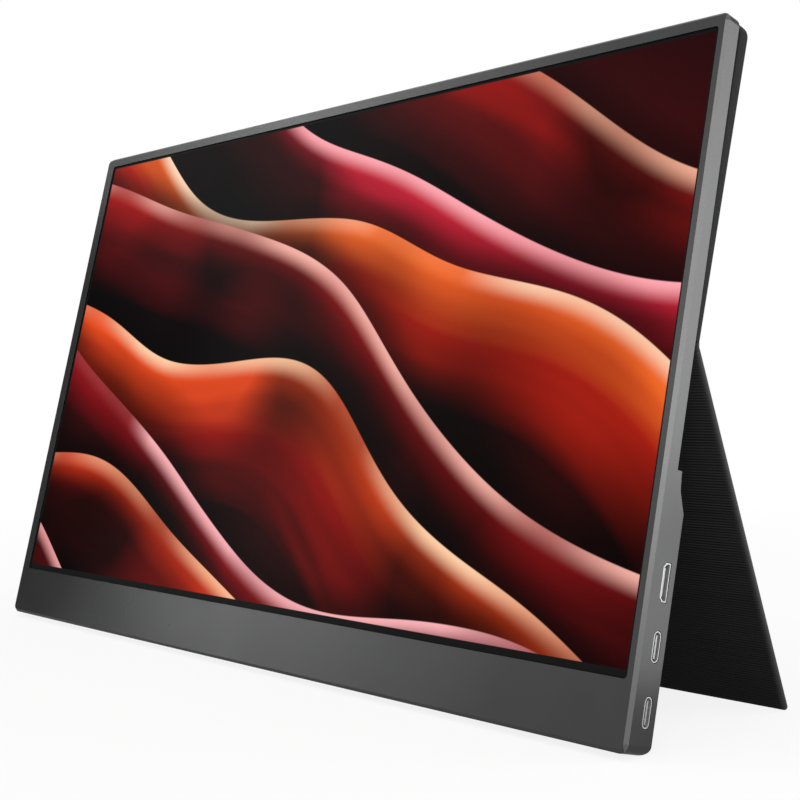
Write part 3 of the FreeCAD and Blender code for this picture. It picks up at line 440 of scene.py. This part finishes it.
def makeGrain(name, dark, light):
    # pebbled leatherette: cells with soft tops and fine pores
    hide = {"cell": 1500.0, "pore": 4200, "wobble": 900.0, "shift": 0.0004, "cloud": 30, "roughness": 0.52}
    material, s = startMaterial(name)
    spot = objectSpot(s)
    wobble = s.node("TexNoise", None, {"Vector": spot, "Scale": hide["wobble"], "Detail": 2.0}, give="Color")
    moved = s.node("VectorMath", {"operation": "MULTIPLY_ADD"}, {0: wobble, 1: (hide["shift"],) * 3, 2: spot})
    cells = s.node("TexVoronoi", {"feature": "DISTANCE_TO_EDGE"},
                   {"Vector": moved, "Scale": hide["cell"]}, give="Distance")
    top = softStep(s, cells, 0.0, 0.28)
    pores = noise(s, spot, hide["pore"], 2)
    cloud = noise(s, spot, hide["cloud"], 4, 0.6)
    base = ramp(s, top * 0.5 + pores * 0.25 + cloud * 0.25, (0.25, grey(dark)), (0.8, grey(light)))
    closeMaterial(s, s.node("BsdfPrincipled", None, {
        "Base Color": base, "Roughness": spread(s, top, 0, 1, hide["roughness"] + 0.14, hide["roughness"] - 0.04),
        "Specular IOR Level": 0.08, "Normal": bump(s, top + pores * 0.3, 0.45, 0.00012)}))
    return material


finishes = {
    "dark_aluminium": makeAluminium("darkAluminium", False),
    "screen": makeScreen(),
    "black_foam": makePlain("blackFoam", grey(22), grey(36), 1500, 0.9, grain=0.6),
    "white_film": makePlain("whiteFilm", grey(222), grey(236), 700, 0.5),
    "clear_acrylic": makePlain("lightGuide", colour(214, 226, 228), colour(228, 236, 238), 500, 0.12, grain=0.03,
                               extra={"Coat Weight": 0.3}),
    "steel": makePlain("sheetSteel", grey(150), grey(176), 1800, 0.36, 1.0),
    "socket_steel": makePlain("socketSteel", grey(152), grey(168), 2400, 0.5, 0.6, 0.04),
    "socket_tongue": makeTongue(),
    "led_strip": makeLedStrip(),
    "circuit_board": makeCircuit(),
    "black_plastic": makePlain("blackPlastic", grey(24), grey(34), 2600, 0.42),
    "ribbon": makeRibbon(),
    "cover_board": makePlain("greyBoard", colour(120, 112, 100), colour(146, 138, 124), 900, 0.85, grain=0.4),
    "magnet": makePlain("nickelMagnet", grey(176), grey(198), 900, 0.24, 1.0, 0.05),
}
padFinish = makeGrain("padHide", 10, 26)
# the last level is the rim tone, a painted edge highlight where it is lighter than the cloth
upperCloth = makeRibbedCloth("upperRibbed", stand["lean"], 20, 50, 18)
# the leg's lining also takes the painted shade
legCloth = makeRibbedCloth("legRibbed", -stand["legSlope"], 20, 58, 58, True)
legBackCloth = makeRibbedCloth("legBackRibbed", -stand["legSlope"], 20, 50, 52)
finishes["cover_skin"] = upperCloth
finishes["cover_lining"] = legCloth

slotOf = {entry["node"]: entry["material_slot"] for entry in frame["record"]["subparts"]}
for name, part in nodes.items():
    part.data.materials.clear()
    part.data.materials.append(finishes[slotOf[name]])
nodes["front_bezel"].data.materials[0] = makeAluminium("cutEdgeAluminium", True)
print("finishes on", len(nodes), "nodes,", len(set(slotOf.values())), "slots")


# cover panels, drawn from the crease: x across, y to the back, z along the panel
cover = {
    "half": 177.3, "rear": 0.7, "start": 1.1, "skin": 0.8, "lining": 0.6, "fit": 0.05,
    "upperLength": 103.354, "upperCorner": 5.0, "upperBoard": 1.6,
    "legLength": 124.608, "legCorner": 1.2, "legBoard": 0.6, "legMiddle": -0.3,
    "rearRoll": 1.3, "frontRoll": 1.5, "lip": 0.1, "legRoll": 0.95, "liningStart": 1.2,
    "margin": 4.2, "line": 0.6, "lineCorner": 2.0, "pressed": 0.12, "overrun": 1.0,
    "padStart": 12.0, "padTop": 101.65, "padRear": -2.3, "padLowFront": -2.79, "padTopFront": -5.68,
    "padEdge": 0.3,
    "roomHalf": 113.4, "roomFront": -3.75, "roomRear": -1.0, "roomLow": 74.05, "roomHigh": 88.65,
}


def roundFarCorners(side, far, corner):
    pickEdges(lambda m, d: abs(d.y) > 0.9 and abs(m.z - side * far) < 0.01)
    bpy.ops.mesh.bevel(offset=corner * mm, segments=10, affect="EDGES", clamp_overlap=False)


def rollEdges(depth, near, roll):
    # rounds the edges of the face at this depth, all but the one at the crease
    pickEdges(lambda m, d: abs(m.y - depth) < 0.001 and abs(m.z - near) > 0.01)
    bpy.ops.mesh.bevel(offset=roll * mm, segments=6, affect="EDGES", clamp_overlap=False)


def carve(piece, cutter):
    clearSelection()
    bpy.context.view_layer.objects.active = piece
    cut = piece.modifiers.new("carve", "BOOLEAN")
    cut.operation = "DIFFERENCE"
    cut.solver = "EXACT"
    cut.object = cutter
    bpy.ops.object.modifier_apply(modifier=cut.name)
    bpy.data.objects.remove(cutter)


def pressLine(piece, low, high):
    # a line pressed into the outer skin all round
    c = cover
    side = c["half"] - c["margin"]
    cutter = addBox("press", (-side, c["rear"] - c["pressed"], low), (side, c["rear"] + c["overrun"], high))
    setEdit(cutter)
    pickEdges(lambda m, d: abs(d.y) > 0.9)
    bpy.ops.mesh.bevel(offset=c["lineCorner"] * mm, segments=6, affect="EDGES")
    pickFaces(lambda m, n: abs(n.y) > 0.99)
    bpy.ops.mesh.inset(thickness=c["line"] * mm, depth=0)
    bpy.ops.mesh.bridge_edge_loops()
    bpy.ops.object.mode_set(mode="OBJECT")
    carve(piece, cutter)


def wedgeFront(along):
    # front of the wedge, which lies against the monitor's back
    c = cover
    share = (along - c["padStart"]) / (c["padTop"] - c["padStart"])
    return c["padLowFront"] + share * (c["padTopFront"] - c["padLowFront"])


def makeUpperSkin(name):
    # the outer skin, turned over the board and the wedge up to the monitor's back
    c = cover
    near, far = c["start"], c["upperLength"]
    front, floor = wedgeFront(far) + c["fit"], c["rear"] - c["skin"]
    ledge = floor - c["upperBoard"] - c["fit"]
    piece = addBox(name, (-c["half"], front, near), (c["half"], c["rear"], far))
    setEdit(piece)
    roundFarCorners(1, far, c["upperCorner"])
    rollEdges(c["rear"], near, c["rearRoll"])
    rollEdges(front, near, c["frontRoll"])
    pickFaces(lambda m, n: n.y < -0.999)
    bpy.ops.mesh.inset(thickness=c["lip"] * mm, depth=0)
    bpy.ops.mesh.extrude_region_move(TRANSFORM_OT_translate={"value": (0, (ledge - front) * mm, 0)})
    wide = (c["half"] - c["skin"]) / (c["half"] - c["frontRoll"] - c["lip"])
    tall = (far - near - 2 * c["skin"]) / (far - near - c["frontRoll"] - 2 * c["lip"])
    bpy.ops.mesh.extrude_region_move(TRANSFORM_OT_translate={"value": (0, 0, 0)})
    bpy.ops.transform.resize(value=(wide, 1, tall), center_override=(0, 0, (far + near) / 2 * mm))
    bpy.ops.mesh.extrude_region_move(TRANSFORM_OT_translate={"value": (0, (floor - ledge) * mm, 0)})
    bpy.ops.object.mode_set(mode="OBJECT")
    for vertex in piece.data.vertices:      # the side walls get lower towards the crease
        deep = vertex.co.y / mm - ledge
        if deep < 0:
            wall = wedgeFront(vertex.co.z / mm) + c["fit"] - ledge
            vertex.co.y = (ledge + deep * wall / (front - ledge)) * mm
    pressLine(piece, near + c["margin"], far - c["margin"])
    return piece


def makeLegShell(name, outer, start, inner):
    # one half of the leg's sandwich: a skin with rolled edges and a shallow room for the board
    c = cover
    far = c["legLength"]
    low, high = sorted((outer, c["legMiddle"]))
    way = 1 if outer > c["legMiddle"] else -1
    piece = addBox(name, (-c["half"], low, -far), (c["half"], high, -start))
    setEdit(piece)
    roundFarCorners(-1, far, c["legCorner"])
    rollEdges(outer, -start, c["legRoll"])
    pickFaces(lambda m, n: n.y * way < -0.999)
    bpy.ops.mesh.inset(thickness=c["skin"] * mm, depth=0)
    bpy.ops.mesh.extrude_region_move(TRANSFORM_OT_translate={"value": (0, (inner - c["legMiddle"]) * mm, 0)})
    bpy.ops.object.mode_set(mode="OBJECT")
    if way > 0:
        pressLine(piece, c["margin"] - far, -start - c["margin"])
    return piece


def makeUpperLining(name):
    c = cover
    edge = c["frontRoll"] + c["lip"] + c["fit"]
    rear = c["padRear"] + c["lining"]
    piece = addBox(name, (-c["half"] + edge, c["padRear"], c["liningStart"]),
                   (c["half"] - edge, rear, c["upperLength"] - edge))
    setEdit(piece)
    roundFarCorners(1, c["upperLength"] - edge, c["upperCorner"] - edge)
    return piece


def makePad(name):
    # the wedge that fills the space up to the monitor's back, with the magnets inside
    c = cover
    edge = c["frontRoll"] + c["lip"] + c["fit"]
    half = c["half"] - edge
    piece = addBox(name, (-half, c["padTopFront"], c["padStart"]), (half, c["padRear"], c["padTop"]))
    setEdit(piece)
    pickEdges(lambda m, d: abs(d.x) > 0.9 and m.y < c["padRear"] - 1 and m.z < c["padStart"] + 0.01)
    bpy.ops.transform.translate(value=(0, (c["padLowFront"] - c["padTopFront"]) * mm, 0))
    roundFarCorners(1, c["padTop"], c["upperCorner"] - edge)
    pickEdges(lambda m, d: m.y < wedgeFront(m.z) + 0.01)
    bpy.ops.mesh.bevel(offset=c["padEdge"] * mm, segments=3, affect="EDGES")
    bpy.ops.object.mode_set(mode="OBJECT")
    # the row of magnets sits in this room
    room = addBox("magnet_room", (-c["roomHalf"], c["roomFront"], c["roomLow"]),
                  (c["roomHalf"], c["roomRear"], c["roomHigh"]))
    carve(piece, room)
    return piece


boardRear = cover["rear"] - cover["skin"]
legFront = boardRear - cover["legBoard"] - cover["lining"]
upperPlace = (-stand["lean"], stand["crease"])
legPlace = (stand["legSlope"], stand["crease"])
upperSkin = finishPiece(makeUpperSkin("upper_skin_wrap"), *upperPlace)
upperLining = finishPiece(makeUpperLining("upper_lining_cloth"), *upperPlace)
coverPad = finishPiece(makePad("magnet_pad_wedge"), *upperPlace)
legSkin = finishPiece(makeLegShell("leg_skin_wrap", cover["rear"], cover["start"], boardRear), *legPlace)
legLining = finishPiece(makeLegShell("leg_lining_cloth", legFront, cover["liningStart"],
                                     boardRear - cover["legBoard"]), *legPlace)
for piece, body, node, finish, slot in (
        (upperSkin, "cover", "upper_skin", upperCloth, "cover_skin"),
        (legSkin, "leg", "leg_skin", legBackCloth, "cover_skin"),
        (coverPad, "cover", "magnet_pad", padFinish, "cover_lining"),
        (upperLining, "cover", "upper_lining", upperCloth, "cover_lining"),
        (legLining, "leg", "leg_lining", legCloth, "cover_lining")):
    piece.data.materials.append(finish)
    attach(piece, body)
    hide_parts(node)
print("cover panels made")


# the pressed crease between the panels, bent from the upper panel's slope to the leg's
def makeFold():
    crease = {"half": 177.25, "reach": 1.09, "rear": 0.66, "front": -1.25, "round": 0.9, "cuts": 13,
              "pinch": 0.12, "pinchShare": 0.4}
    piece = addBox("fold_crease", (-crease["half"], crease["front"], -crease["reach"]),
                   (crease["half"], crease["rear"], crease["reach"]))
    setEdit(piece)
    pickEdges(lambda m, d: abs(d.z) > 0.9)
    bpy.ops.mesh.bevel(offset=crease["round"] * mm, segments=5, affect="EDGES")
    pickEdges(lambda m, d: abs(d.z) > 0.9)
    bpy.ops.mesh.subdivide(number_cuts=crease["cuts"])
    bpy.ops.object.mode_set(mode="OBJECT")
    centre, reach = stand["crease"], crease["reach"] * mm
    upperWay = Vector((0, math.sin(stand["lean"]), math.cos(stand["lean"])))
    legWay = Vector((0, math.sin(stand["legSlope"]), -math.cos(stand["legSlope"])))
    for vertex in piece.data.vertices:
        share = vertex.co.z / reach
        step = (1 - share) / 2
        line = upperWay * (reach * (1 - step) ** 2) + legWay * (reach * step ** 2)
        way = legWay * step - upperWay * (1 - step)
        back = Vector((0, -way.z, way.y)).normalized()
        pinch = 1 - crease["pinch"] * math.exp(-(share / crease["pinchShare"]) ** 2)
        vertex.co = centre + Vector((vertex.co.x, 0, 0)) + line + back * (vertex.co.y * pinch)
    finishPiece(piece, smooth=50)
    piece.data.materials.append(legBackCloth)
    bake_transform(piece)
    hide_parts("fold_strip")
    return piece


makeFold()
print("crease made")


# camera, lights and stage
def addCamera():
    view = {"lens": 61.50353, "place": (0.41111513, -0.34424773, 0.10580801),
            "turn": (89.30311266, 0.70465277, 46.93366339)}
    data = bpy.data.cameras.new("photoCamera")
    data.lens = view["lens"]
    data.sensor_width = 36
    data.clip_start = 0.01
    data.clip_end = 50
    camera = bpy.data.objects.new("photoCamera", data)
    bpy.context.scene.collection.objects.link(camera)
    camera.location = view["place"]
    camera.rotation_euler = [math.radians(turn) for turn in view["turn"]]
    bpy.context.scene.camera = camera


def addLamp(name, place, aim, size, power, roll=0):
    data = bpy.data.lights.new(name, "AREA")
    data.shape = "RECTANGLE"
    data.size, data.size_y = size
    data.energy = power
    lamp = bpy.data.objects.new(name, data)
    bpy.context.scene.collection.objects.link(lamp)
    lamp.visible_camera = False
    lamp.location = place
    aimed = (Vector(aim) - Vector(place)).to_track_quat("-Z", "Y")
    lamp.rotation_euler = (aimed @ Quaternion((0, 0, 1), math.radians(roll))).to_euler()


def addFlag():
    # a dark studio flag that stands near the left end, which only reflections see
    flag = {"place": -0.36, "right": -0.225, "left": 0.06, "top": 0.275}
    clearSelection()
    bpy.ops.mesh.primitive_plane_add(size=1)
    card = bpy.context.object
    card.name = "studioFlag"
    for vertex in card.data.vertices:
        across = flag["right"] if vertex.co.x < 0 else flag["left"]
        vertex.co = (flag["place"], across, flag["top"] if vertex.co.y > 0 else 0)
    card.visible_camera = False
    card.visible_diffuse = False
    card.visible_shadow = False
    card.data.materials.append(finishes["black_foam"])


def seenRays(s):
    # 1 for what the camera sees, straight or in a reflection
    path = [s.node("LightPath", give=ray) for ray in ("Is Camera Ray", "Is Glossy Ray", "Is Transmission Ray")]
    return s.maths("MAXIMUM", s.maths("MAXIMUM", path[0], path[1]), path[2])


def addStage():
    stage = {"size": 12, "height": -0.0002, "near": 0.22, "far": 0.7, "glow": 0.85, "sky": 0.45}
    clearSelection()
    bpy.ops.mesh.primitive_plane_add(size=stage["size"], location=(0, 0, stage["height"]))
    floor = bpy.context.object
    floor.name = "studioFloor"
    material, s = startMaterial("paleFloor")
    spot = objectSpot(s)
    tone = ramp(s, noise(s, spot, 3, 2), (0.3, grey(236)), (0.7, grey(242)))
    paper = s.node("BsdfDiffuse", None, {"Color": tone})
    glow = s.node("Emission", None, {"Color": (1, 1, 1, 1), "Strength": 1.0})
    away = s.node("VectorMath", {"operation": "LENGTH"}, {0: spot}, give="Value")
    share = seenRays(s) * spread(s, away, stage["near"], stage["far"], stage["glow"], 1.0)
    closeMaterial(s, s.node("MixShader", None, {0: share, 1: paper, 2: glow}))
    floor.data.materials.append(material)

    world = bpy.data.worlds.new("studioWorld")
    bpy.context.scene.world = world
    world.use_nodes = True
    world.node_tree.nodes.clear()
    s = Sock(world.node_tree)
    strength = spread(s, seenRays(s), 0, 1, stage["sky"], 1.0)
    sky = s.node("Background", None, {"Color": (1, 1, 1, 1), "Strength": strength})
    s.node("OutputWorld", None, {"Surface": sky})


addCamera()
addLamp("sideBox", place=(0.78, 0.57, 0.225), aim=(0.177, 0.0, 0.15), size=(0.6, 0.5), power=5.5)
addLamp("lowBox", place=(0.405, 0.215, 0.004), aim=(0.405, 0.215, 1.0), size=(0.37, 0.39), power=1.1)
addLamp("stripBox", place=(-1.46, -0.94, 0.84), aim=(0, 0, 0.16), size=(0.14, 1.5), power=7.6, roll=16)
addLamp("rightBox", place=(-0.79, -1.16, 0.86), aim=(0.17, 0, 0.12), size=(0.3, 0.4), power=0.8)
addLamp("frontBox", place=(1.05, -0.95, 0.72), aim=(0.1, 0, 0.14), size=(0.85, 0.85), power=6.5)
addLamp("topBox", place=(0.1, -0.5, 1.6), aim=(0, 0, 0.1), size=(1.2, 1.0), power=8)
addFlag()
addStage()
bpy.context.scene.view_settings.view_transform = "Standard"
print("camera, lamps and stage set")
